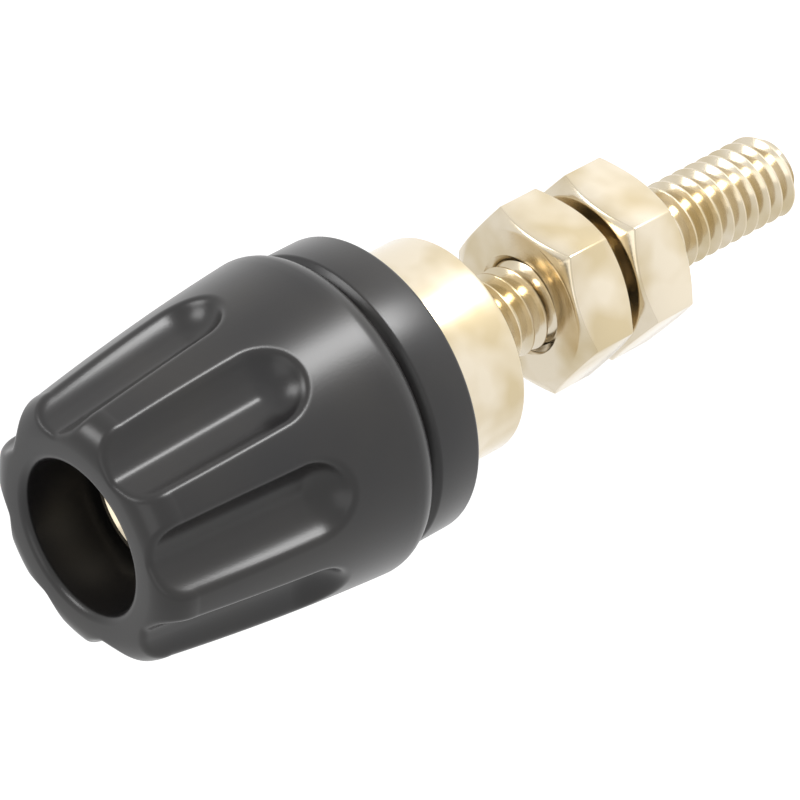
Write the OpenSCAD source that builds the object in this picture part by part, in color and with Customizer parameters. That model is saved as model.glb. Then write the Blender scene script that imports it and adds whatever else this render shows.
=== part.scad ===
// Panel binding post with a screw stud, a plug socket and a fluted clamping knob.
// Origin: centre of the flange's seat, the face that bears on the panel.
// +Z runs along the post to the knob's mouth; the screw stud runs down to -Z.

/* [Stud] */
// Major diameter of the stud's screw thread
stud_d = 4.166; // [3.8:0.001:4.6]
// Length of the stud below the seat
stud_len = 20.6; // [17:0.1:26]
// Height of the chamfer at the stud's tip
stud_chamfer = 0.4; // [0.1:0.05:0.8]

/* [Flange] */
// Diameter of the flange
flange_d = 10.4; // [9.4:0.1:13]
// Thickness of the flange
flange_h = 4.5; // [3:0.1:7]
// Chamfer round the flange's two edges
flange_edge = 0.2; // [0.05:0.05:0.5]

/* [Sleeve] */
// Major diameter of the sleeve's screw thread
sleeve_d = 6.35; // [6:0.01:6.8]
// Length of the sleeve above the flange
sleeve_len = 12.7; // [11:0.1:15]
// Chamfer round the sleeve's rim
sleeve_chamfer = 0.35; // [0.1:0.05:0.5]
// Diameter of the plug socket
socket_d = 4; // [3:0.05:4.4]
// Depth of the plug socket below the sleeve's rim, without its drill point
socket_depth = 11.9; // [9:0.1:12.4]
// Chamfer at the plug socket's entry
socket_chamfer = 0.4; // [0.1:0.05:0.45]
// Angle of the drill point at the bottom of the socket
drill_point = 118; // [90:1:140]
// Diameter of the cross hole that takes a bare wire
wire_hole_d = 2.4; // [1:0.1:2.6]
// Height of the cross hole's centre above the flange
wire_hole_z = 2.1; // [1.8:0.05:2.8]
// Width of the thread relief where the sleeve meets the flange
relief_w = 0.7; // [0.3:0.05:0.8]
// Depth of the thread relief below the thread's crests
relief_depth = 0.5; // [0.2:0.05:0.7]

/* [Threaded insert] */
// Length of the insert
insert_len = 7.6; // [6:0.1:8]
// Diameter of the insert's foot, flush with the back of the knob
insert_foot_d = 10.2; // [9.8:0.1:11]
// Thickness of the insert's foot
insert_foot_h = 1; // [0.5:0.1:1.5]
// Diameter of the insert's barrel
insert_d = 9.2; // [8.8:0.1:9.5]
// Diameter at the bottom of the insert's retaining groove
insert_groove_d = 8.3; // [7.8:0.1:8.5]
// Width of the insert's retaining groove
insert_groove_w = 1.4; // [0.8:0.1:2]
// Chamfer at both ends of the insert's thread
insert_chamfer = 0.3; // [0.1:0.05:0.4]

/* [Knob] */
// Length of the knob
knob_len = 16.38; // [15:0.01:19]
// Diameter of the knob's mouth
mouth_d = 7.2; // [7:0.1:8]
// Rounding of the mouth's edge
mouth_round = 0.25; // [0.1:0.05:0.4]
// Diameter of the knob at its front face, over the rounded edge
front_d = 12.1; // [11.8:0.1:13]
// Rounding of the front face's outer edge
front_round = 0.4; // [0.1:0.05:0.6]
// Largest diameter of the knob, at its shoulder
shoulder_d = 15.2; // [14.4:0.1:17]
// Rounding of the shoulder
shoulder_round = 1.15; // [0.6:0.05:1.5]
// How far the knob's side bulges out of a straight cone
side_bulge = 0.14; // [0.02:0.01:0.3]
// Diameter at the bottom of the groove between the shoulder and the collar
neck_d = 13.1; // [12.4:0.1:13.6]
// Height of the sloping wall between the groove and the collar
neck_slope = 0.3; // [0.1:0.05:0.5]
// Diameter of the collar at the back of the knob
collar_d = 14.15; // [13.8:0.05:15]
// Height of the collar, from the back of the knob to the groove
collar_h = 2.68; // [2:0.01:3.5]
// Rounding of the collar's edges
collar_round = 0.2; // [0.1:0.05:0.3]

/* [Flutes] */
// Number of grip flutes round the knob
flute_count = 8; // [5:1:8]
// Radius of a flute's hollow
flute_r = 2.1; // [1.6:0.05:2.4]
// Distance of a flute's floor from the axis at the front face
flute_floor_front = 5.2; // [5.1:0.05:5.6]
// Distance of a flute's floor from the axis at its ball end
flute_floor_back = 5.52; // [5.4:0.01:6]
// Distance from the front face to the centre of a flute's ball end
flute_len = 7.6; // [5:0.1:8.5]

/* [Nuts] */
// Width of a nut across its flats
nut_af = 7.94; // [6.6:0.01:9.5]
// Thickness of a nut
nut_h = 3.18; // [2:0.01:4]
// Diameter of a nut's face inside the corner chamfer
nut_face_d = 7.5; // [6.2:0.1:7.6]
// Angle between a nut's face and its corner chamfer
nut_chamfer_angle = 30; // [15:1:45]
// Chamfer at both ends of a nut's thread
nut_bore_chamfer = 0.3; // [0.1:0.05:0.5]
// Distance from the seat to the front nut
panel_space = 4.54; // [3:0.01:5]
// Gap between the two nuts
nut_gap = 0.65; // [0.2:0.05:1.5]
// Turn of the front nut about the stud
front_nut_turn = 24; // [0:1:59]
// Turn of the rear nut about the stud
rear_nut_turn = 21; // [0:1:59]

/* [Fits] */
// Radial clearance of each screw thread, at the crests
thread_fit = 0.05; // [0.02:0.01:0.08]
// Clearance between the insert and the knob moulded round it
insert_fit = 0.05; // [0.02:0.01:0.08]

/* [Hidden] */

$fn = 96;
plating = "#E3D6B8";
bare_brass = "#C9A861";
black_plastic = "#38373A";

past = 1;                 // how far a cut runs past a face
bulge_steps = 8;          // segments along the knob's side
round_steps = 5;          // segments in a quarter round
stud_r = stud_d / 2;
sleeve_r = sleeve_d / 2;
sleeve_bore_r = sleeve_r + thread_fit;
rim_z = flange_h + sleeve_len;
socket_floor_z = rim_z - socket_depth;
socket_point_h = (socket_d / 2) / tan(drill_point / 2);
groove_mid = (insert_foot_h + insert_len) / 2;
front_nut_z = -panel_space - nut_h;
rear_nut_z = front_nut_z - nut_gap - nut_h;
nut_bore_r = stud_r + thread_fit;

// Points on an arc about (x, y), from angle a to angle b
function arc(x, y, r, a, b, steps = round_steps) =
    [for (i = [0 : steps]) let (t = a + (b - a) * i / steps) [x + r * cos(t), y + r * sin(t)]];

// Points from p to q on a shallow curve that stands out by rise at its middle
function bowed(p, q, rise) =
    let (side = q - p, out = [side[1], -side[0]] / norm(side))
    [for (i = [0 : bulge_steps]) let (t = i / bulge_steps) p + side * t + out * 4 * rise * t * (1 - t)];

// Half outline of the insert, from the axis out; fit grows it into the pocket that holds it
function insert_outline(fit, below) = [
    [0, -below],
    [insert_foot_d / 2 + fit, -below],
    [insert_foot_d / 2 + fit, insert_foot_h + fit],
    [insert_d / 2 + fit, insert_foot_h + fit],
    [insert_d / 2 + fit, groove_mid - insert_groove_w / 2 + fit],
    [insert_groove_d / 2 + fit, groove_mid - insert_groove_w / 2 + fit],
    [insert_groove_d / 2 + fit, groove_mid + insert_groove_w / 2 - fit],
    [insert_d / 2 + fit, groove_mid + insert_groove_w / 2 - fit],
    [insert_d / 2 + fit, insert_len + fit],
    [0, insert_len + fit]
];

// Half outline of the solid knob, from the collar's back face up to the front face
function knob_outline() =
    let (
        collar_r = collar_d / 2,
        shoulder_z = collar_h + shoulder_round,
        shoulder_x = shoulder_d / 2 - shoulder_round,
        front_x = front_d / 2 - front_round,
        side_foot = [shoulder_d / 2, shoulder_z],
        side_top = [front_d / 2, knob_len - front_round]
    )
    concat(
        [[0, 0]],
        arc(collar_r - collar_round, collar_round, collar_round, -90, 0),
        arc(collar_r - collar_round, collar_h - neck_slope - collar_round, collar_round, 0, 45),
        [[neck_d / 2, collar_h]],
        arc(shoulder_x, shoulder_z, shoulder_round, -80, -10),
        bowed(side_foot, side_top, side_bulge),
        arc(front_x, knob_len - front_round, front_round, 15, 90),
        [[0, knob_len]]
    );

// Half outline of a hex nut's corner-chamfer envelope
function nut_envelope() =
    let (corner_r = nut_af / sqrt(3) + past, face_r = nut_face_d / 2,
         drop = (corner_r - face_r) * tan(nut_chamfer_angle))
    [[0, 0], [face_r, 0], [corner_r, drop], [corner_r, nut_h - drop], [face_r, nut_h], [0, nut_h]];

// Chamfered hole right through a part that stands on z = 0
module tapped_hole(r, height, chamfer) {
    translate([0, 0, -past]) cylinder(r = r, h = height + 2 * past);
    translate([0, 0, -chamfer]) cylinder(r1 = r + 2 * chamfer, r2 = r, h = 2 * chamfer);
    translate([0, 0, height - chamfer]) cylinder(r1 = r, r2 = r + 2 * chamfer, h = 2 * chamfer);
}

// Turned bar: stud, flange and sleeve in one piece, before it is drilled
module turned_bar() {
    rotate_extrude() polygon([
        [0, -stud_len],
        [stud_r - stud_chamfer / 2, -stud_len],
        [stud_r, -stud_len + stud_chamfer],
        [stud_r, 0],
        [flange_d / 2 - flange_edge, 0],
        [flange_d / 2, flange_edge],
        [flange_d / 2, flange_h - flange_edge],
        [flange_d / 2 - flange_edge, flange_h],
        [sleeve_r - relief_depth, flange_h],
        [sleeve_r - relief_depth, flange_h + relief_w],
        [sleeve_r, flange_h + relief_w],
        [sleeve_r, rim_z - sleeve_chamfer],
        [sleeve_r - sleeve_chamfer, rim_z],
        [0, rim_z]
    ]);
}

module post() {
    color(plating) difference() {
        turned_bar();
        translate([0, 0, socket_floor_z]) cylinder(r = socket_d / 2, h = socket_depth + past);
        translate([0, 0, socket_floor_z - socket_point_h])
            cylinder(r1 = 0, r2 = socket_d / 2, h = socket_point_h);
        translate([0, 0, rim_z - socket_chamfer])
            cylinder(r1 = socket_d / 2, r2 = socket_d / 2 + 2 * socket_chamfer, h = 2 * socket_chamfer);
        translate([-sleeve_d, 0, flange_h + wire_hole_z])
            rotate([0, 90, 0]) cylinder(r = wire_hole_d / 2, h = 2 * sleeve_d);
    }
}

module threaded_insert() {
    color(bare_brass) translate([0, 0, flange_h]) difference() {
        rotate_extrude() polygon(insert_outline(0, 0));
        tapped_hole(sleeve_bore_r, insert_len, insert_chamfer);
    }
}

// One grip flute: a round-nosed groove along the +X side, open at the front face
module flute() {
    floor_back = [flute_floor_back + flute_r, 0, knob_len - flute_len];
    floor_front = [flute_floor_front + flute_r, 0, knob_len];
    lean = atan2(floor_front[0] - floor_back[0], flute_len);
    translate(floor_back) {
        sphere(r = flute_r);
        rotate([0, lean, 0]) cylinder(r = flute_r, h = flute_len + 2 * past);
    }
}

// Rounded edge of the knob's mouth, as the ring of material that is cut away
module mouth_edge() {
    rotate_extrude() polygon(concat(
        [[0, knob_len + past], [0, knob_len - mouth_round]],
        arc(mouth_d / 2 + mouth_round, knob_len - mouth_round, mouth_round, 180, 90),
        [[mouth_d / 2 + mouth_round, knob_len + past]]
    ));
}

module knob() {
    color(black_plastic) translate([0, 0, flange_h]) difference() {
        rotate_extrude() polygon(knob_outline());
        rotate_extrude() polygon(insert_outline(insert_fit, past));
        cylinder(r = mouth_d / 2, h = knob_len + past);
        mouth_edge();
        for (i = [0 : flute_count - 1]) rotate([0, 0, i * 360 / flute_count]) flute();
    }
}

// Hex nut that stands on z = 0, chamfered on both faces
module hex_nut() {
    difference() {
        intersection() {
            cylinder(d = nut_af / cos(30), h = nut_h, $fn = 6);
            rotate_extrude() polygon(nut_envelope());
        }
        tapped_hole(nut_bore_r, nut_h, nut_bore_chamfer);
    }
}

module front_nut() {
    color(plating) translate([0, 0, front_nut_z]) rotate([0, 0, front_nut_turn]) hex_nut();
}

module rear_nut() {
    color(plating) translate([0, 0, rear_nut_z]) rotate([0, 0, rear_nut_turn]) hex_nut();
}

post();
threaded_insert();
knob();
front_nut();
rear_nut();
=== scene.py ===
"""Dresses a packed panel binding post: threads, soft moulded edges, finishes and a small studio.

Every size is in millimetres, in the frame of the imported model: the origin is the centre of the
flange's seat, and +Z runs along the post to the knob's mouth.
"""

import logging
import math
from dataclasses import dataclass, field
from enum import Enum
from typing import Callable, Protocol, Sequence, Union

import bpy
import numpy as np
from mathutils import Matrix, Vector


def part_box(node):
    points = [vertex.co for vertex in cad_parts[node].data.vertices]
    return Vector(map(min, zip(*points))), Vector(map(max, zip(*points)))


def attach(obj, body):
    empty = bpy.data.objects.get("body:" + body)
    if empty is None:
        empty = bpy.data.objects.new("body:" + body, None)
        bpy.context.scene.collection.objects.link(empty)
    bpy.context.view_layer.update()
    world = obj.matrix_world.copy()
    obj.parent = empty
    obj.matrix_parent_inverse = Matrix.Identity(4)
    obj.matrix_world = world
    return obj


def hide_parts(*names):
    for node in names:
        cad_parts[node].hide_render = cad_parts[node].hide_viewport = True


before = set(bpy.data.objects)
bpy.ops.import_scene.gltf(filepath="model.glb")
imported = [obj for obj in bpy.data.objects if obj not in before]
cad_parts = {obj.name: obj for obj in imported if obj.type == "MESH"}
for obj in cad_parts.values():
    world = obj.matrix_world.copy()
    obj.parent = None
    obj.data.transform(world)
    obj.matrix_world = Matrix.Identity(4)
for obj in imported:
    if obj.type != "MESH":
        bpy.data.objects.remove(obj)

LOG = logging.getLogger("binding_post")
MM = 0.001                  # metres in a millimetre
WELD = 1e-7                 # metres: vertices closer than this are one vertex
ON_ROW = 1e-3               # millimetres: vertices this close to a height are on it
TINY = 1e-9                 # keeps a division from meeting zero

Point = tuple[float, float]
NodeInput = Union[float, Sequence[float], bpy.types.NodeSocket]


# ---------------------------------------------------------------- colours and node trees

def linear(hex_colour: str) -> tuple[float, float, float, float]:
    """Turns an sRGB hex colour into linear light.

    Args:
        hex_colour: Six hex digits after a hash.

    Returns:
        Red, green, blue and an alpha of 1.
    """
    shares = [int(hex_colour[i:i + 2], 16) / 255 for i in (1, 3, 5)]
    red, green, blue = (s / 12.92 if s <= 0.04045 else ((s + 0.055) / 1.055) ** 2.4 for s in shares)
    return red, green, blue, 1.0


def add_node(tree: bpy.types.NodeTree, kind: str, settings: dict | None = None,
             inputs: dict[str | int, NodeInput] | None = None) -> bpy.types.Node:
    """Adds a node, sets its properties, and sets or links its inputs.

    Args:
        tree: The node tree that takes the node.
        kind: The node's type name.
        settings: Properties of the node by name.
        inputs: A value, or the socket that feeds it, for each input by name or place.

    Returns:
        The new node.
    """
    node = tree.nodes.new(kind)
    for name, value in (settings or {}).items():
        setattr(node, name, value)
    for name, value in (inputs or {}).items():
        if isinstance(value, bpy.types.NodeSocket):
            tree.links.new(value, node.inputs[name])
        else:
            node.inputs[name].default_value = value
    return node


def new_material(name: str) -> tuple[bpy.types.Material, bpy.types.NodeTree]:
    """Makes an empty node material.

    Args:
        name: The material's name.

    Returns:
        The material and its cleared node tree.
    """
    material = bpy.data.materials.new(name)
    material.use_nodes = True
    material.node_tree.nodes.clear()
    return material, material.node_tree


def colour_ramp(tree: bpy.types.NodeTree, factor: bpy.types.NodeSocket,
                stops: Sequence[tuple[float, str]]) -> bpy.types.Node:
    """Adds a colour ramp between named colours.

    Args:
        tree: The node tree.
        factor: The socket that drives the ramp.
        stops: Place from 0 to 1 and sRGB hex colour of each stop, in order.

    Returns:
        The ramp node.
    """
    ramp = add_node(tree, "ShaderNodeValToRGB", {}, {"Fac": factor})
    elements = ramp.color_ramp.elements
    while len(elements) < len(stops):
        elements.new(0.5)
    for element, (place, colour) in zip(elements, stops):
        element.position = place
        element.color = linear(colour)
    return ramp


def seen_directly(tree: bpy.types.NodeTree) -> bpy.types.NodeSocket:
    """Gives 1 for rays from the lens, in mirror reflections and through glass, and 0 for the rest.

    Args:
        tree: The node tree.

    Returns:
        A value socket.
    """
    rays = add_node(tree, "ShaderNodeLightPath")
    seen = rays.outputs["Is Camera Ray"]
    for kind in ("Is Glossy Ray", "Is Transmission Ray"):
        either = add_node(tree, "ShaderNodeMath", {"operation": "MAXIMUM"}, {0: seen, 1: rays.outputs[kind]})
        seen = either.outputs["Value"]
    return seen


def lathe_coordinates(tree: bpy.types.NodeTree) -> bpy.types.NodeSocket:
    """Gives (radius, 0, height) about the post's axis, along which tool marks run unchanged.

    Args:
        tree: The node tree.

    Returns:
        A vector socket, in metres.
    """
    place = add_node(tree, "ShaderNodeTexCoord")
    flat = add_node(tree, "ShaderNodeVectorMath", {"operation": "MULTIPLY"},
                    {0: place.outputs["Object"], 1: (1, 1, 0)})
    radius = add_node(tree, "ShaderNodeVectorMath", {"operation": "LENGTH"}, {0: flat.outputs["Vector"]})
    parts = add_node(tree, "ShaderNodeSeparateXYZ", {}, {0: place.outputs["Object"]})
    joined = add_node(tree, "ShaderNodeCombineXYZ", {},
                      {"X": radius.outputs["Value"], "Z": parts.outputs["Z"]})
    return joined.outputs["Vector"]


# ---------------------------------------------------------------- finishes

class Finish(Protocol):
    """A surface finish that can make its own material."""

    def build(self) -> bpy.types.Material:
        """Makes the material."""


@dataclass(frozen=True)
class PlatedBrass:
    """Brass, turned or milled, then bright nickel plated.

    A warm, near-mirror metal over fine tool marks, which draw its reflections out a little; paler
    where the plate is thick.
    """

    name: str
    plate: str = "#DCD1BC"          # warm nickel under studio light
    plate_thin: str = "#C8B896"     # where brass warms the plate
    roughness: float = 0.17
    polish: tuple[float, float] = (0.8, 1.35)   # least and greatest share of the roughness
    mark_spacing: float = 0.09      # mm between tool marks; real ones are finer, drawn coarse to show
    mark_depth: float = 0.0025      # mm
    patch_size: float = 3.0         # mm, drift of the plate's tone
    lathe_marks: bool = True        # rings round the axis, or a fine all-over grain

    def build(self) -> bpy.types.Material:
        """Makes the material."""
        material, tree = new_material(self.name)
        place = add_node(tree, "ShaderNodeTexCoord").outputs["Object"]
        grain_place = lathe_coordinates(tree) if self.lathe_marks else place
        patches = add_node(tree, "ShaderNodeTexNoise", {}, {
            "Vector": place, "Scale": 1 / (self.patch_size * MM), "Detail": 2.0})
        tone = colour_ramp(tree, patches.outputs["Fac"], [(0.35, self.plate_thin), (0.6, self.plate)])
        marks = add_node(tree, "ShaderNodeTexNoise", {}, {
            "Vector": grain_place, "Scale": 1 / (self.mark_spacing * MM), "Detail": 3.0, "Roughness": 0.6})
        polish = add_node(tree, "ShaderNodeMapRange", {}, {
            "Value": marks.outputs["Fac"], "To Min": self.roughness * self.polish[0],
            "To Max": self.roughness * self.polish[1]})
        relief = add_node(tree, "ShaderNodeBump", {}, {
            "Strength": 0.35, "Distance": self.mark_depth * MM, "Height": marks.outputs["Fac"]})
        shader = add_node(tree, "ShaderNodeBsdfPrincipled", {}, {
            "Base Color": tone.outputs["Color"], "Metallic": 1.0,
            "Roughness": polish.outputs["Result"], "Normal": relief.outputs["Normal"]})
        add_node(tree, "ShaderNodeOutputMaterial", {}, {"Surface": shader.outputs["BSDF"]})
        return material


@dataclass(frozen=True)
class TurnedBrass:
    """Bare free-cutting brass, turned and left unplated inside the knob.

    Yellow metal with open feed rings, duller than the plated pieces.
    """

    name: str = "turned_bare_brass"
    brass: str = "#C8A35C"
    tarnish: str = "#A8843F"
    roughness: float = 0.3
    feed: float = 0.12              # mm between feed rings
    feed_depth: float = 0.004       # mm

    def build(self) -> bpy.types.Material:
        """Makes the material."""
        material, tree = new_material(self.name)
        rings = add_node(tree, "ShaderNodeTexNoise", {}, {
            "Vector": lathe_coordinates(tree), "Scale": 1 / (self.feed * MM), "Detail": 2.0})
        tone = colour_ramp(tree, rings.outputs["Fac"], [(0.3, self.tarnish), (0.6, self.brass)])
        relief = add_node(tree, "ShaderNodeBump", {}, {
            "Strength": 0.5, "Distance": self.feed_depth * MM, "Height": rings.outputs["Fac"]})
        shader = add_node(tree, "ShaderNodeBsdfPrincipled", {}, {
            "Base Color": tone.outputs["Color"], "Metallic": 1.0, "Roughness": self.roughness,
            "Normal": relief.outputs["Normal"]})
        add_node(tree, "ShaderNodeOutputMaterial", {}, {"Surface": shader.outputs["BSDF"]})
        return material


@dataclass(frozen=True)
class MouldedNylon:
    """Black nylon, injection moulded in a lightly spark-eroded tool.

    Near-black with a broad satin sheen: the fine grain spreads highlights into soft grey bands.
    """

    name: str = "moulded_black_nylon"
    black: str = "#1A191A"
    faded: str = "#23211F"
    roughness: float = 0.29
    sheen: tuple[float, float] = (0.9, 1.15)    # least and greatest share of the roughness
    ior: float = 1.5
    grain: float = 0.11             # mm, grain of the mould's skin
    grain_depth: float = 0.004      # mm
    flow: float = 5.0               # mm, drift in gloss left by the melt's flow

    def build(self) -> bpy.types.Material:
        """Makes the material."""
        material, tree = new_material(self.name)
        place = add_node(tree, "ShaderNodeTexCoord").outputs["Object"]
        flow = add_node(tree, "ShaderNodeTexNoise", {}, {
            "Vector": place, "Scale": 1 / (self.flow * MM), "Detail": 2.0})
        tone = colour_ramp(tree, flow.outputs["Fac"], [(0.35, self.black), (0.7, self.faded)])
        grain = add_node(tree, "ShaderNodeTexNoise", {}, {
            "Vector": place, "Scale": 1 / (self.grain * MM), "Detail": 2.0, "Roughness": 0.55})
        gloss = add_node(tree, "ShaderNodeMapRange", {}, {
            "Value": flow.outputs["Fac"], "To Min": self.roughness * self.sheen[0],
            "To Max": self.roughness * self.sheen[1]})
        relief = add_node(tree, "ShaderNodeBump", {}, {
            "Strength": 0.5, "Distance": self.grain_depth * MM, "Height": grain.outputs["Fac"]})
        shader = add_node(tree, "ShaderNodeBsdfPrincipled", {}, {
            "Base Color": tone.outputs["Color"], "Roughness": gloss.outputs["Result"], "IOR": self.ior,
            "Normal": relief.outputs["Normal"]})
        add_node(tree, "ShaderNodeOutputMaterial", {}, {"Surface": shader.outputs["BSDF"]})
        return material


@dataclass(frozen=True)
class StudioPaper:
    """White matt background paper: it keeps soft shadows, and shows as white to the lens and in metal."""

    name: str = "white_background_paper"
    paper: str = "#E6E6E6"
    lift: float = 0.62              # light that only the lens and mirror reflections see

    def build(self) -> bpy.types.Material:
        """Makes the material."""
        material, tree = new_material(self.name)
        strength = add_node(tree, "ShaderNodeMath", {"operation": "MULTIPLY"}, {
            0: seen_directly(tree), 1: self.lift})
        shader = add_node(tree, "ShaderNodeBsdfPrincipled", {}, {
            "Base Color": linear(self.paper), "Roughness": 0.9, "Emission Color": (1, 1, 1, 1),
            "Emission Strength": strength.outputs["Value"]})
        add_node(tree, "ShaderNodeOutputMaterial", {}, {"Surface": shader.outputs["BSDF"]})
        return material


# ---------------------------------------------------------------- modelling tools

def deselect_all() -> None:
    """Deselects every object, so that an operator acts only on what is chosen next."""
    for item in list(bpy.context.selected_objects):
        item.select_set(False)


def choose(piece: bpy.types.Object) -> None:
    """Makes a piece the only selected object, and the active one."""
    deselect_all()
    piece.select_set(True)
    bpy.context.view_layer.objects.active = piece


def edit(piece: bpy.types.Object) -> None:
    """Opens a piece in edit mode."""
    choose(piece)
    bpy.ops.object.mode_set(mode="EDIT")


def leave_edit() -> None:
    """Closes edit mode."""
    bpy.ops.object.mode_set(mode="OBJECT")


def quarter(x: float, z: float, radius: float, start: float, end: float, steps: int = 6) -> list[Point]:
    """Gives points on an arc.

    Args:
        x: The centre's distance from the axis.
        z: The centre's height.
        radius: The arc's radius.
        start: First angle in degrees, from the outward direction towards +Z.
        end: Last angle in degrees.
        steps: Segments in the arc.

    Returns:
        The points, ends included.
    """
    angles = (math.radians(start + (end - start) * i / steps) for i in range(steps + 1))
    return [(x + radius * math.cos(a), z + radius * math.sin(a)) for a in angles]


def draw_outline(name: str, points: Sequence[Point]) -> bpy.types.Object:
    """Draws a half outline in the XZ plane by extruding one vertex from point to point.

    Args:
        name: The new object's name.
        points: Distance from the axis and height of each point, in millimetres.

    Returns:
        The object, which holds a chain of edges.
    """
    deselect_all()
    bpy.ops.mesh.primitive_plane_add(size=MM, location=(0, 0, 0))
    piece = bpy.context.active_object
    piece.name = name
    edit(piece)
    bpy.ops.mesh.select_all(action="SELECT")
    bpy.ops.mesh.merge(type="CENTER")
    bpy.ops.transform.translate(value=(points[0][0] * MM, 0, points[0][1] * MM))
    for (x0, z0), (x1, z1) in zip(points, points[1:]):
        bpy.ops.mesh.extrude_vertices_move(
            TRANSFORM_OT_translate={"value": ((x1 - x0) * MM, 0, (z1 - z0) * MM)})
    leave_edit()
    return piece


def tidy_mesh(piece: bpy.types.Object) -> None:
    """Welds doubled vertices and turns every face outwards."""
    edit(piece)
    bpy.ops.mesh.select_all(action="SELECT")
    bpy.ops.mesh.remove_doubles(threshold=WELD)
    bpy.ops.mesh.normals_make_consistent(inside=False)
    leave_edit()


def spin_outline(name: str, points: Sequence[Point], steps: int) -> bpy.types.Object:
    """Spins a half outline about the Z axis into a solid.

    Args:
        name: The new object's name.
        points: The outline, closed on itself or with both ends on the axis.
        steps: Segments round the axis.

    Returns:
        The solid.
    """
    piece = draw_outline(name, points)
    edit(piece)
    bpy.ops.mesh.select_all(action="SELECT")
    bpy.ops.mesh.spin(steps=steps, angle=math.tau, center=(0, 0, 0), axis=(0, 0, 1))
    leave_edit()
    tidy_mesh(piece)
    return piece


def coordinates(piece: bpy.types.Object) -> np.ndarray:
    """Gives a piece's vertices in millimetres, one row each."""
    flat = np.empty(len(piece.data.vertices) * 3)
    piece.data.vertices.foreach_get("co", flat)
    return flat.reshape(-1, 3) / MM


def set_coordinates(piece: bpy.types.Object, places: np.ndarray) -> None:
    """Puts a piece's vertices at places given in millimetres."""
    piece.data.vertices.foreach_set("co", (places * MM).ravel())
    piece.data.update()


def cut_level(piece: bpy.types.Object, height: float, keep: str = "both") -> None:
    """Bisects a piece with a level plane.

    Args:
        piece: The piece.
        height: The plane's height in millimetres.
        keep: "above", "below" or "both". What isn't kept is cleared, and the cut is closed.
    """
    edit(piece)
    bpy.ops.mesh.select_all(action="SELECT")
    bpy.ops.mesh.bisect(plane_co=(0, 0, height * MM), plane_no=(0, 0, 1), use_fill=keep != "both",
                        clear_inner=keep == "above", clear_outer=keep == "below", threshold=WELD)
    leave_edit()


def turn_down(piece: bpy.types.Object, limit: Callable[[np.ndarray], np.ndarray]) -> None:
    """Turns a piece down on the lathe: no vertex stays further from the axis than a limit.

    Args:
        piece: The piece.
        limit: Gives the largest radius at each height, in millimetres.
    """
    places = coordinates(piece)
    radius = np.hypot(places[:, 0], places[:, 1])
    scale = np.minimum(1, limit(places[:, 2]) / np.maximum(radius, TINY))
    places[:, :2] *= scale[:, None]
    set_coordinates(piece, places)


def combine(piece: bpy.types.Object, other: bpy.types.Object, operation: str) -> None:
    """Applies an exact boolean and deletes the other solid.

    Args:
        piece: The solid that is kept.
        other: The solid that is joined, cut away or intersected.
        operation: "UNION", "DIFFERENCE" or "INTERSECT".
    """
    choose(piece)
    modifier = piece.modifiers.new("boolean", "BOOLEAN")
    modifier.operation = operation
    modifier.solver = "EXACT"
    modifier.object = other
    bpy.ops.object.modifier_apply(modifier=modifier.name)
    bpy.data.objects.remove(other)


def soften_edges(piece: bpy.types.Object, width: float, angle: float, segments: int = 2) -> None:
    """Rounds every edge sharper than an angle with a bevel modifier, and applies it.

    Args:
        piece: The piece.
        width: The bevel's width in millimetres.
        angle: The least angle between faces, in degrees.
        segments: Faces across the bevel.
    """
    choose(piece)
    modifier = piece.modifiers.new("soft_edges", "BEVEL")
    modifier.width = width * MM
    modifier.segments = segments
    modifier.limit_method = "ANGLE"
    modifier.angle_limit = math.radians(angle)
    modifier.use_clamp_overlap = True
    bpy.ops.object.modifier_apply(modifier=modifier.name)


def finish_piece(piece: bpy.types.Object, body: str, node: str,
                 material: bpy.types.Material, smooth_angle: float = 32) -> None:
    """Shades a piece, dresses it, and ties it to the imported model.

    Args:
        piece: The finished mesh object.
        body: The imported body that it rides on.
        node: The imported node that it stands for.
        material: Its material.
        smooth_angle: Edges sharper than this, in degrees, stay crisp.
    """
    choose(piece)
    bpy.ops.object.shade_smooth_by_angle(angle=math.radians(smooth_angle))
    piece.data.materials.clear()
    piece.data.materials.append(material)
    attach(piece, body)
    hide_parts(node)
    LOG.info("%s: %d faces on body %s", piece.name, len(piece.data.polygons), body)


# ---------------------------------------------------------------- screw threads

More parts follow.
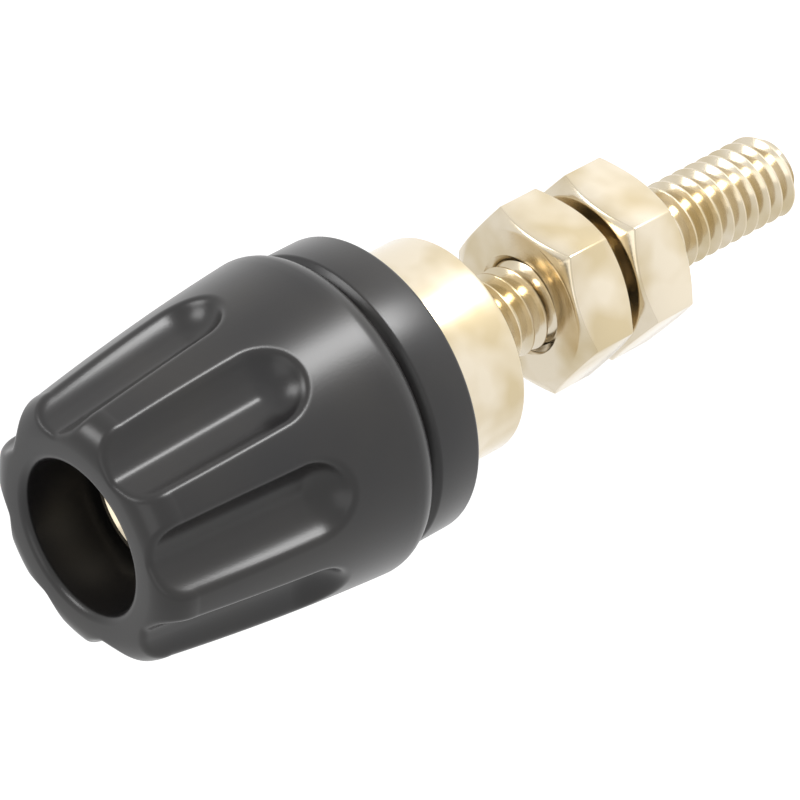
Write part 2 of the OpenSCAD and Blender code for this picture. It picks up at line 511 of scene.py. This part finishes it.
@dataclass(frozen=True)
class ScrewThread:
    """A single-start 60 degree thread about the Z axis, in millimetres."""

    major_d: float
    pitch: float
    steps: int = 72                 # segments a turn
    crest_share: float = 1 / 8      # flat of the crest, as a share of the pitch
    root_share: float = 1 / 6       # flat of the root, as a share of the pitch
    crest_wear: float = 0.25        # worn corner of the crest, as a share of half its flat
    spare_turns: float = 1.5        # cut off again at each end, to leave a level face

    @property
    def depth(self) -> float:
        """Height of the thread's flanks."""
        return self.pitch * (1 - self.crest_share - self.root_share) / 2 * math.sqrt(3)

    def rib(self) -> list[Point]:
        """Outline of one pitch, from the middle of a root to the middle of the next."""
        crest = self.major_d / 2
        root = crest - self.depth
        half_root = self.pitch * self.root_share / 2
        half_crest = self.pitch * self.crest_share / 2
        middle = self.pitch / 2
        ease = self.crest_wear * half_crest
        return [
            (root, 0), (root, half_root),
            (crest - ease * 2, middle - half_crest - ease), (crest, middle - half_crest + ease),
            (crest, middle + half_crest - ease), (crest - ease * 2, middle + half_crest + ease),
            (root, self.pitch - half_root), (root, self.pitch)]

    def rod(self, name: str, low: float, high: float) -> bpy.types.Object:
        """Makes a closed threaded rod between two heights.

        Args:
            name: The new object's name.
            low: Height of its lower end.
            high: Height of its upper end.

        Returns:
            The rod.
        """
        start = low - self.spare_turns * self.pitch
        turns = math.ceil((high - low) / self.pitch + 2 * self.spare_turns)
        piece = draw_outline(name, [(x, start + z) for x, z in self.rib()])
        modifier = piece.modifiers.new("screw", "SCREW")
        modifier.axis = "Z"
        modifier.angle = math.tau
        modifier.screw_offset = self.pitch * MM
        modifier.iterations = turns
        modifier.steps = modifier.render_steps = self.steps
        modifier.use_merge_vertices = True
        modifier.merge_threshold = WELD
        choose(piece)
        bpy.ops.object.modifier_apply(modifier=modifier.name)
        tidy_mesh(piece)
        cut_level(piece, low, "above")
        cut_level(piece, high, "below")
        tidy_mesh(piece)
        return piece


STUD_THREAD = ScrewThread(4.166, 0.79375)       # number 8, 32 threads an inch
SLEEVE_THREAD = ScrewThread(6.35, 0.907143)     # quarter inch, 28 threads an inch


@dataclass(frozen=True)
class TappedHole:
    """Tapped hole with a countersink at each face.

    Its crests stand clear of the mating thread, so that a nut that slides in the model passes
    over the rod.
    """

    thread: ScrewThread             # the mating rod's
    chamfer: float = 0.3            # width of each countersink
    fit: float = 0.05               # radial clearance between the hole's crests and the rod's
    depth_share: float = 0.5        # depth of the tapped grooves, as a share of the rod's thread
    land_share: float = 0.45        # flat between the grooves, as a share of the pitch
    tap_overrun: float = 0.5        # how far the tap runs past each face
    sink_overrun: float = 0.6       # how far the countersinks run past each face

    def cutter(self, low: float, high: float) -> bpy.types.Object:
        """Makes the solid that the tap and the two countersinks cut out.

        Args:
            low: Height of the hole's lower face.
            high: Height of the hole's upper face.

        Returns:
            The cutting solid.
        """
        bore = self.thread.major_d / 2 + self.fit
        tap = ScrewThread(2 * (bore + self.thread.depth * self.depth_share), self.thread.pitch,
                          self.thread.steps, root_share=self.land_share)
        cutter = tap.rod("tap", low - self.tap_overrun, high + self.tap_overrun)
        places = coordinates(cutter)
        radius = np.hypot(places[:, 0], places[:, 1])
        places[:, :2] *= (np.maximum(radius, bore) / np.maximum(radius, TINY))[:, None]
        set_coordinates(cutter, places)
        sink_low, sink_high = low - self.sink_overrun, high + self.sink_overrun
        flare = bore + self.chamfer + self.sink_overrun
        sink = spin_outline("countersinks", [
            (0, sink_low), (flare, sink_low), (bore, low + self.chamfer),
            (bore, high - self.chamfer), (flare, sink_high), (0, sink_high)], self.thread.steps)
        tidy_mesh(cutter)
        combine(cutter, sink, "UNION")
        tidy_mesh(cutter)
        return cutter


# ---------------------------------------------------------------- sub-assemblies

@dataclass
class Post:
    """Turned post: threaded stud, round flange, and a threaded sleeve drilled for a plug and a wire."""

    finish: Finish
    stud: ScrewThread = STUD_THREAD
    stud_len: float = 20.6
    stud_chamfer: float = 0.4
    flange_d: float = 10.4
    flange_h: float = 4.5
    flange_round: float = 0.22
    sleeve: ScrewThread = SLEEVE_THREAD
    sleeve_len: float = 13.1        # 0.4 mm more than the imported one's, so its rim shows in the mouth
    rim_w: float = 0.7              # plain band above the sleeve's thread
    rim_r: float = 3.1
    rim_chamfer: float = 0.06
    rim_overlap: float = 0.1        # how far the band runs down into the thread
    socket_d: float = 4.0
    socket_depth: float = 12.3
    socket_chamfer: float = 0.8
    drill_point: float = 118.0      # degrees
    wire_hole_d: float = 2.4
    wire_hole_z: float = 2.1        # above the flange
    wire_hole_steps: int = 64
    relief_w: float = 0.7
    relief_depth: float = 0.5
    overlap: float = 0.5            # how far the rods run into the flange
    spin_steps: int = 144

    @property
    def rim_z(self) -> float:
        """Height of the sleeve's rim."""
        return self.flange_h + self.sleeve_len

    def flange(self) -> bpy.types.Object:
        """Spins the flange, with its two edges rounded."""
        edge_x = self.flange_d / 2 - self.flange_round
        points = [(0.0, 0.0)]
        points += quarter(edge_x, self.flange_round, self.flange_round, -90, 0)
        points += quarter(edge_x, self.flange_h - self.flange_round, self.flange_round, 0, 90)
        points += [(0.0, self.flange_h)]
        return spin_outline("turned_post", points, self.spin_steps)

    def stud_rod(self) -> bpy.types.Object:
        """Threads the stud and chamfers its tip."""
        rod = self.stud.rod("stud_rod", -self.stud_len, self.overlap)
        cut_level(rod, -self.stud_len + self.stud_chamfer)
        radius = self.stud.major_d / 2
        turn_down(rod, lambda z: radius - np.clip(
            -self.stud_len + self.stud_chamfer - z, 0, self.stud_chamfer))
        return rod

    def sleeve_rod(self) -> bpy.types.Object:
        """Threads the sleeve, relieves its foot, and leaves a plain band at its rim."""
        rod = self.sleeve.rod("sleeve_rod", self.flange_h - self.overlap, self.rim_z - self.rim_w)
        radius = self.sleeve.major_d / 2
        relief_top = self.flange_h + self.relief_w
        cut_level(rod, relief_top)
        turn_down(rod, lambda z: np.where(z <= relief_top + ON_ROW, radius - self.relief_depth, radius))
        band_low = self.rim_z - self.rim_w - self.rim_overlap
        combine(rod, spin_outline("sleeve_rim", [
            (0, band_low), (self.rim_r, band_low), (self.rim_r, self.rim_z - self.rim_chamfer),
            (self.rim_r - self.rim_chamfer, self.rim_z), (0, self.rim_z)], self.spin_steps), "UNION")
        return rod

    def socket_drill(self) -> bpy.types.Object:
        """Spins the shape that the plug socket's drill and countersink leave."""
        radius = self.socket_d / 2
        floor = self.rim_z - self.socket_depth
        point = radius / math.tan(math.radians(self.drill_point / 2))
        flare = self.socket_chamfer
        return spin_outline("socket_drill", [
            (0, floor - point), (radius, floor), (radius, self.rim_z - flare),
            (radius + 2 * flare, self.rim_z + flare), (0, self.rim_z + flare)], self.spin_steps)

    def wire_drill(self) -> bpy.types.Object:
        """Makes the drill of the cross hole, along X."""
        deselect_all()
        bpy.ops.mesh.primitive_cylinder_add(
            vertices=self.wire_hole_steps, radius=self.wire_hole_d / 2 * MM, depth=2 * self.sleeve.major_d * MM,
            location=(0, 0, (self.flange_h + self.wire_hole_z) * MM), rotation=(0, math.pi / 2, 0))
        bpy.ops.object.transform_apply(location=True, rotation=True, scale=True)
        return bpy.context.active_object

    def build(self) -> bpy.types.Object:
        """Builds and dresses the post.

        Returns:
            The finished piece.
        """
        piece = self.flange()
        combine(piece, self.stud_rod(), "UNION")
        combine(piece, self.sleeve_rod(), "UNION")
        combine(piece, self.socket_drill(), "DIFFERENCE")
        combine(piece, self.wire_drill(), "DIFFERENCE")
        tidy_mesh(piece)
        finish_piece(piece, "post", "post", self.finish.build())
        return piece


@dataclass
class ThreadedInsert:
    """Brass bush moulded into the knob: it carries the thread that clamps the wire."""

    finish: Finish
    base_z: float
    length: float = 7.6
    foot_d: float = 10.2
    foot_h: float = 1.0
    barrel_d: float = 9.2
    groove_d: float = 8.3
    groove_w: float = 1.4
    hole: TappedHole = TappedHole(SLEEVE_THREAD)
    edge: float = 0.1
    spin_steps: int = 120

    @property
    def groove(self) -> tuple[float, float]:
        """Heights of the groove's lower and upper sides above the bush's foot."""
        middle = (self.foot_h + self.length) / 2
        return middle - self.groove_w / 2, middle + self.groove_w / 2

    def outline(self) -> list[Point]:
        """Half outline of the solid bush, from the axis out."""
        low, high = self.groove
        points = [
            (0, 0), (self.foot_d / 2 - self.edge, 0), (self.foot_d / 2, self.edge),
            (self.foot_d / 2, self.foot_h), (self.barrel_d / 2, self.foot_h),
            (self.barrel_d / 2, low), (self.groove_d / 2, low),
            (self.groove_d / 2, high), (self.barrel_d / 2, high),
            (self.barrel_d / 2, self.length - self.edge), (self.barrel_d / 2 - self.edge, self.length),
            (0, self.length)]
        return [(x, self.base_z + z) for x, z in points]

    def build(self) -> bpy.types.Object:
        """Builds and dresses the insert.

        Returns:
            The finished piece.
        """
        piece = spin_outline("threaded_bush", self.outline(), self.spin_steps)
        combine(piece, self.hole.cutter(self.base_z, self.base_z + self.length), "DIFFERENCE")
        tidy_mesh(piece)
        finish_piece(piece, "threaded_insert", "threaded_insert", self.finish.build())
        return piece


class Flute(Enum):
    """The two ends of a grip flute."""

    FRONT = "front"
    BALL = "ball"


@dataclass
class Knob:
    """Moulded clamping knob: tapered, with eight round-nosed grip flutes, a groove and a collar."""

    finish: Finish
    bush: ThreadedInsert            # the insert that the knob is moulded round
    length: float = 16.38
    front_crown: float = 0.35       # how far the rounded front stands proud of the plain one
    mouth_d: float = 7.2
    mouth_round: float = 0.4
    front_d: float = 12.1           # of the side's line, carried on to the plain front
    front_round: float = 1.55
    shoulder_d: float = 15.2
    shoulder_round: float = 1.15
    shoulder_arc: tuple[float, float] = (-78, -8)   # degrees, from the neck to the side
    side_bulge: float = 0.14
    plain_round: float = 0.4        # rounding that the side's line is measured to
    neck_d: float = 13.1
    neck_slope: float = 0.3
    neck_ease: float = 0.06         # corner between the collar's slope and the neck
    neck_land: float = 0.02         # rise of the neck above the collar, where the shoulder starts
    collar_d: float = 14.15
    collar_h: float = 2.68
    collar_round: float = 0.2
    pocket_fit: float = 0.05
    flute_count: int = 8
    flute_r: float = 2.1
    flute_floor: dict[Flute, float] = field(
        default_factory=lambda: {Flute.FRONT: 5.05, Flute.BALL: 5.88})
    flute_len: float = 7.1
    flute_vee: float = 20.0         # degrees, slope of the floor's two flats towards the valley
    valley: float = 6.0             # degrees, half the turn in which the flats run into each other
    lip_blend: float = 0.28         # how softly a flute's wall runs into the knob's side
    halvings: int = 40              # of the search for the carved surface
    spin_steps: int = 560
    # distance between the side's rows, from each depth below the plain front on
    row_spacing: dict[float, float] = field(default_factory=lambda: {0.0: 0.35, 6.6: 0.065, 9.5: 0.45})

    def side_radius(self, height: np.ndarray | float) -> np.ndarray:
        """Radius of the bowed side at a height above the knob's back.

        Args:
            height: The height, or an array of them.

        Returns:
            The radius, on a parabola that is carried on past both ends of the side.
        """
        foot = np.array([self.shoulder_d / 2, self.collar_h + self.shoulder_round])
        top = np.array([self.front_d / 2, self.length - self.plain_round])
        along = top - foot
        out = np.array([along[1], -along[0]]) / np.hypot(*along)
        share = np.linspace(-0.1, 1.2, 131)
        line = foot + np.outer(share, along) + np.outer(4 * self.side_bulge * share * (1 - share), out)
        return np.interp(height, line[:, 1], line[:, 0])

    @property
    def top(self) -> float:
        """Height of the crowned front above the knob's back."""
        return self.length + self.front_crown

    @property
    def round_centre(self) -> Point:
        """Centre of the front rounding: its distance from the axis and its height."""
        height = self.top - self.front_round
        return float(self.side_radius(height)) - self.front_round, height

    def side_heights(self) -> list[float]:
        """Heights of the side's rows, from the shoulder up: close together where the flutes end."""
        heights = [self.collar_h + self.shoulder_round]
        last = self.round_centre[1]
        while heights[-1] < last:
            depth = self.length - heights[-1]
            spacing = [gap for start, gap in self.row_spacing.items() if depth >= start]
            heights.append(heights[-1] + spacing[-1])
        return heights[:-1]

    def outline(self) -> list[Point]:
        """Closed half outline of the knob, heights measured from its back."""
        fit, bush = self.pocket_fit, self.bush
        foot_r, barrel_r, rib_r = (d / 2 + fit for d in (bush.foot_d, bush.barrel_d, bush.groove_d))
        rib_low, rib_high = bush.groove[0] + fit, bush.groove[1] - fit
        collar_x, mouth_r = self.collar_d / 2 - self.collar_round, self.mouth_d / 2
        points = [(foot_r, 0.0)]
        points += quarter(collar_x, self.collar_round, self.collar_round, -90, 0, steps=5)
        points += quarter(collar_x, self.collar_h - self.neck_slope - self.collar_round,
                          self.collar_round, 0, 45, steps=4)
        points += [(self.neck_d / 2 + self.neck_ease, self.collar_h - self.neck_ease),
                   (self.neck_d / 2, self.collar_h + self.neck_land)]
        points += quarter(self.shoulder_d / 2 - self.shoulder_round, self.collar_h + self.shoulder_round,
                          self.shoulder_round, *self.shoulder_arc, steps=10)
        points += [(float(self.side_radius(z)), z) for z in self.side_heights()]
        points += quarter(*self.round_centre, self.front_round, 0, 90, steps=30)
        points += quarter(mouth_r + self.mouth_round, self.top - self.mouth_round,
                          self.mouth_round, 90, 180, steps=6)
        points += [
            (mouth_r, bush.length + fit), (barrel_r, bush.length + fit), (barrel_r, rib_high),
            (rib_r, rib_high), (rib_r, rib_low), (barrel_r, rib_low),
            (barrel_r, bush.foot_h + fit), (foot_r, bush.foot_h + fit), (foot_r, 0.0)]
        return points

    def flute_depth(self, radius: np.ndarray, angle: np.ndarray, height: np.ndarray) -> np.ndarray:
        """Depth inside the nearest flute's cutter, below zero outside it.

        The cutter is round, with a blunt keel along its middle that leaves the floor's valley.

        Args:
            radius: Distance from the knob's axis.
            angle: Angle from the middle of the nearest flute, in radians.
            height: Height above the knob's back.

        Returns:
            The depth, in millimetres.
        """
        ball = np.array([self.flute_floor[Flute.BALL] + self.flute_r, self.length - self.flute_len])
        mouth = np.array([self.flute_floor[Flute.FRONT] + self.flute_r, self.length])
        run = mouth - ball
        x, y = radius * np.cos(angle), radius * np.sin(angle)
        share = np.maximum(0, ((x - ball[0]) * run[0] + (height - ball[1]) * run[1]) / (run @ run))
        off_x, off_z = x - ball[0] - share * run[0], height - ball[1] - share * run[1]
        gap = np.sqrt(off_x ** 2 + y ** 2 + off_z ** 2)
        inward = np.array([-run[1], run[0]]) / np.hypot(*run)
        down = np.clip((off_x * inward[0] + off_z * inward[1]) / np.maximum(gap, TINY), -1, 1)
        turn = np.hypot(np.arccos(down), math.radians(self.valley))
        keel = np.clip(math.radians(self.flute_vee) - turn, 0, None)
        return self.flute_r / np.cos(keel) - gap

    def carved_radius(self, plain: np.ndarray, angle: np.ndarray, height: np.ndarray) -> np.ndarray:
        """Finds where the knob's surface lies once the flutes are cut and their lips are blended.

        Args:
            plain: Radius of the uncut knob.
            angle: Angle from the middle of the nearest flute, in radians.
            height: Height above the knob's back.

        Returns:
            The carved radius.
        """
        centre_r, centre_z = self.round_centre
        low, high = np.full_like(plain, self.mouth_d / 2), plain + self.lip_blend
        for _ in range(self.halvings):
            middle = (low + high) / 2
            rounded = (height > centre_z) & (middle > centre_r)
            outside = np.where(
                rounded, np.hypot(middle - centre_r, height - centre_z) - self.front_round, middle - plain)
            inside_cut = self.flute_depth(middle, angle, height)
            blend = np.maximum(self.lip_blend - np.abs(outside - inside_cut), 0) / self.lip_blend
            surface = np.maximum(outside, inside_cut) + blend ** 2 * self.lip_blend / 4
            low, high = np.where(surface < 0, middle, low), np.where(surface < 0, high, middle)
        return (low + high) / 2

    def carve(self, piece: bpy.types.Object) -> None:
        """Sinks the flutes into the spun knob by moving its outer vertices towards the axis.

        A boolean would leave a hard lip; the blend gives the drafted, rounded lip of a moulding.

        Args:
            piece: The spun knob, heights measured from its back.
        """
        places = coordinates(piece)
        radius = np.hypot(places[:, 0], places[:, 1])
        turn = np.arctan2(places[:, 1], places[:, 0])
        pitch = math.tau / self.flute_count
        angle = turn - np.round(turn / pitch) * pitch
        height = places[:, 2]
        outer = (radius > self.round_centre[0] + ON_ROW) & (height < self.top - ON_ROW)
        outer &= height > self.length - self.flute_len - self.flute_r - self.lip_blend
        places[outer, :2] *= (
            self.carved_radius(radius[outer], angle[outer], height[outer]) / radius[outer])[:, None]
        set_coordinates(piece, places)

    def build(self) -> bpy.types.Object:
        """Builds and dresses the knob.

        Returns:
            The finished piece.
        """
        piece = spin_outline("fluted_knob", self.outline(), self.spin_steps)
        self.carve(piece)
        places = coordinates(piece)
        places[:, 2] += self.bush.base_z
        set_coordinates(piece, places)
        tidy_mesh(piece)
        finish_piece(piece, "knob", "knob", self.finish.build(), smooth_angle=40)
        return piece


@dataclass
class HexNut:
    """Chamfered hex nut on the stud."""

    name: str
    node: str
    top_z: float
    turn: float                     # degrees, to a corner
    finish: Finish
    across_flats: float = 7.94
    height: float = 3.18
    face_d: float = 7.5
    chamfer_angle: float = 30.0
    corner_margin: float = 1.0      # how far the chamfering cones run past the corners
    hole: TappedHole = TappedHole(STUD_THREAD)
    edge: float = 0.07              # width of the softened edges
    soft_angle: float = 20.0        # degrees: edges sharper than this are softened
    spin_steps: int = 144

    def bar(self) -> bpy.types.Object:
        """Cuts a slice of hexagon bar."""
        deselect_all()
        first_corner = 90.0         # a cylinder's first corner lies along +Y
        bpy.ops.mesh.primitive_cylinder_add(
            vertices=6, radius=self.across_flats / math.sqrt(3) * MM, depth=self.height * MM,
            location=(0, 0, (self.top_z - self.height / 2) * MM),
            rotation=(0, 0, math.radians(self.turn - first_corner)))
        piece = bpy.context.active_object
        piece.name = self.name
        bpy.ops.object.transform_apply(location=True, rotation=True, scale=True)
        return piece

    def envelope(self) -> bpy.types.Object:
        """Spins the solid that the corner chamfers leave."""
        corner_r = self.across_flats / math.sqrt(3) + self.corner_margin
        face_r = self.face_d / 2
        drop = (corner_r - face_r) * math.tan(math.radians(self.chamfer_angle))
        low = self.top_z - self.height
        return spin_outline("chamfer_envelope", [
            (0, low), (face_r, low), (corner_r, low + drop), (corner_r, self.top_z - drop),
            (face_r, self.top_z), (0, self.top_z)], self.spin_steps)

    def build(self) -> bpy.types.Object:
        """Builds and dresses the nut.

        Returns:
            The finished piece.
        """
        piece = self.bar()
        combine(piece, self.envelope(), "INTERSECT")
        tidy_mesh(piece)
        soften_edges(piece, self.edge, self.soft_angle)
        combine(piece, self.hole.cutter(self.top_z - self.height, self.top_z), "DIFFERENCE")
        tidy_mesh(piece)
        finish_piece(piece, self.node, self.node, self.finish.build())
        return piece


# ---------------------------------------------------------------- studio

@dataclass(frozen=True)
class Softbox:
    """A rectangular lamp that faces a point, unseen by the lens."""

    name: str
    direction: tuple[float, float, float]
    distance: float                 # mm
    size: tuple[float, float]       # mm, across and up
    power: float                    # watts
    colour: str = "#FFFFFF"

    def place(self, target: Vector) -> None:
        """Hangs the lamp.

        Args:
            target: The point that it faces, in metres.
        """
        data = bpy.data.lights.new(self.name, "AREA")
        data.shape = "RECTANGLE"
        data.size, data.size_y = self.size[0] * MM, self.size[1] * MM
        data.energy = self.power
        data.color = linear(self.colour)[:3]
        lamp = bpy.data.objects.new(self.name, data)
        bpy.context.scene.collection.objects.link(lamp)
        away = Vector(self.direction).normalized()
        lamp.location = target + away * self.distance * MM
        lamp.rotation_euler = away.to_track_quat("Z", "Y").to_euler()
        lamp.visible_camera = False


@dataclass
class Studio:
    """Floor, white surroundings, lamps and the camera."""

    floor_z: float = -75.0
    floor_d: float = 2400.0
    paper: StudioPaper = StudioPaper()
    ambient: float = 0.55           # what the white surroundings give to matt surfaces
    lamps: tuple[Softbox, ...] = (
        Softbox("key_softbox", (0.25, -0.945, -0.235), 153, (48, 72), 0.15),
        Softbox("collar_softbox", (0.238, -0.824, -0.513), 146, (45, 40), 0.057),
        Softbox("front_softbox", (0.66, -0.31, 0.68), 160, (70, 50), 0.066),
        Softbox("top_softbox", (-0.2, -0.3, 0.93), 260, (160, 160), 0.06),
    )
    aim: tuple[float, float, float] = (-0.728, 1.892, 2.469)
    azimuth: float = -16.0
    elevation: float = 33.2426
    roll: float = -118.1636
    distance: float = 225.41
    lens: float = 228.3

    def build_floor(self) -> None:
        """Lays the floor."""
        deselect_all()
        bpy.ops.mesh.primitive_circle_add(
            vertices=96, radius=self.floor_d / 2 * MM, fill_type="NGON", location=(0, 0, self.floor_z * MM))
        floor = bpy.context.active_object
        floor.name = "studio_floor"
        bpy.ops.object.transform_apply(location=True, rotation=True, scale=True)
        floor.data.materials.append(self.paper.build())

    def build_world(self) -> None:
        """Makes the surroundings white to the lens and to mirror reflections, and softer as light."""
        world = bpy.data.worlds.new("white_surroundings")
        bpy.context.scene.world = world
        world.use_nodes = True
        tree = world.node_tree
        tree.nodes.clear()
        strength = add_node(tree, "ShaderNodeMapRange", {}, {
            "Value": seen_directly(tree), "To Min": self.ambient, "To Max": 1.0})
        sky = add_node(tree, "ShaderNodeBackground", {}, {
            "Color": (1, 1, 1, 1), "Strength": strength.outputs["Result"]})
        add_node(tree, "ShaderNodeOutputWorld", {}, {"Surface": sky.outputs["Background"]})

    def build_camera(self) -> None:
        """Sets up the camera on its line of sight."""
        data = bpy.data.cameras.new("studio_camera")
        data.sensor_width = 36.0
        data.lens = self.lens
        data.clip_start, data.clip_end = 0.01, 20.0
        camera = bpy.data.objects.new("studio_camera", data)
        bpy.context.scene.collection.objects.link(camera)
        turn = (Matrix.Rotation(math.radians(self.azimuth), 4, "Z")
                @ Matrix.Rotation(math.radians(90 - self.elevation), 4, "X")
                @ Matrix.Rotation(math.radians(self.roll), 4, "Z"))
        aim = Vector(self.aim) * MM
        camera.matrix_world = Matrix.Translation(aim + turn.col[2].xyz * self.distance * MM) @ turn
        bpy.context.scene.camera = camera

    def build(self) -> None:
        """Builds the whole studio."""
        self.build_camera()
        self.build_floor()
        self.build_world()
        for lamp in self.lamps:
            lamp.place(Vector(self.aim) * MM)
        bpy.context.scene.view_settings.view_transform = "Standard"


def main() -> None:
    """Builds the studio and every piece in order, logging each piece's face count."""
    logging.basicConfig(level=logging.INFO, format="%(message)s")
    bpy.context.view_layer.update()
    Studio().build()
    post = Post(PlatedBrass("nickel_plated_turned_brass"))
    bush = ThreadedInsert(TurnedBrass(), base_z=post.flange_h)
    post.build()
    bush.build()
    Knob(MouldedNylon(), bush).build()
    nut_finish = PlatedBrass("nickel_plated_milled_brass", lathe_marks=False)
    for name, node, turn in (("front_hex_nut", "front_nut", 24), ("rear_hex_nut", "rear_nut", 21)):
        HexNut(name, node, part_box(node)[1].z / MM, turn, nut_finish).build()


if __name__ == "__main__":
    main()
